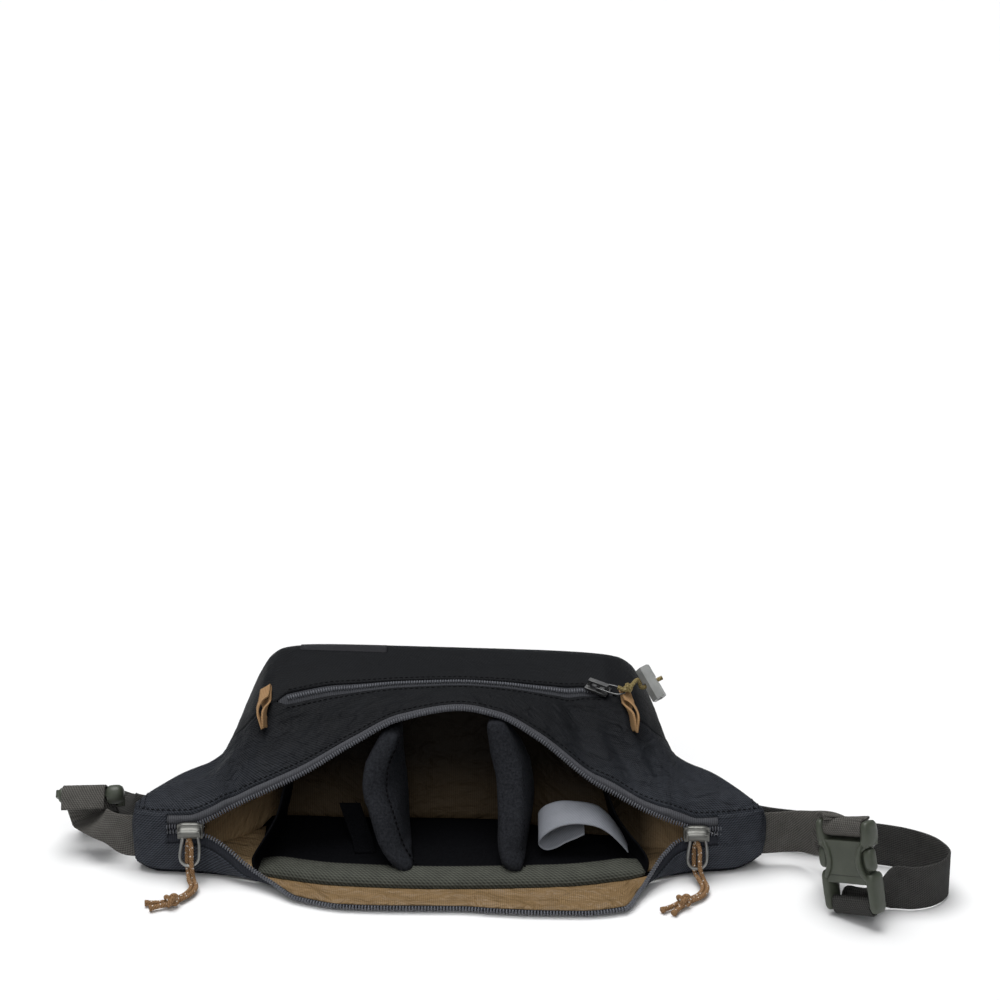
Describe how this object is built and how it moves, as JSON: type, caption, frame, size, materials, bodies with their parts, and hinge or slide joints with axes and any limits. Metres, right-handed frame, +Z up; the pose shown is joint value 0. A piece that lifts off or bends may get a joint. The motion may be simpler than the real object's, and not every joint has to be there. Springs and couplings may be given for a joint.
{
  "type": "camera pouch",
  "caption": "Padded hip pouch for a camera, with tapering wings, open main zip, movable dividers, front pocket and a webbing belt with a fastened buckle.",
  "frame": {"origin": "on the resting face of the back panel, midway between the wings", "axes": "+X from the left wing to the right wing as seen by someone looking into the mouth, +Y from the mouth to the bottom of the pouch, +Z up from the floor through the front pocket"},
  "size_m": [0.5007, 0.2339, 0.0937],
  "materials": {
    "nylon": "fine twill, matt",
    "nylon_edge": "fine twill, matt",
    "lining_brown": "thin smooth lining",
    "band_green": "ribbed band",
    "pad_black": "loop pile",
    "divider_black": "brushed pile",
    "label_white": "smooth woven tape",
    "label_black": "woven label, bare",
    "zip_grey": "zip tape and coil",
    "pewter": "dull plated",
    "cord_tan": "braided cord",
    "cord_olive": "flat braided cord",
    "toggle_grey": "moulded",
    "loop_tan": "folded ribbon",
    "webbing": "woven webbing",
    "buckle_olive": "moulded acetal"
  },
  "bodies": {
    "root": {"front_upper_panel": "nylon", "pocket_panel": "nylon", "back_panel": "nylon_edge", "zip_flap": "nylon", "flap_lining": "lining_brown", "main_zip_upper": "zip_grey", "main_zip_lower": "zip_grey", "zip_end_left": "nylon", "zip_end_right": "nylon", "liner": "lining_brown", "lip_facing": "band_green", "floor_pad": "pad_black", "pad_binding": "band_green", "divider_left": "divider_black", "divider_right": "divider_black", "divider_tab_left": "pad_black", "care_label": "label_white", "main_slider_left": "pewter", "main_pull_left": "pewter", "pull_cord_left": "cord_tan", "pull_knot_left": "cord_tan", "main_slider_right": "pewter", "main_pull_right": "pewter", "pull_cord_right": "cord_tan", "pull_knot_right": "cord_tan", "pocket_zip": "zip_grey", "pocket_slider": "pewter", "pocket_pull": "pewter", "pocket_toggle": "toggle_grey", "pocket_cord": "cord_olive", "side_loop_left": "loop_tan", "side_loop_right": "loop_tan", "front_label": "label_black", "buckle_female": "buckle_olive", "buckle_male": "buckle_olive", "belt_strap": "webbing", "wing_strap_right": "webbing", "ladder_lock": "buckle_olive", "wing_strap_left": "webbing"}
  },
  "joints": []
}
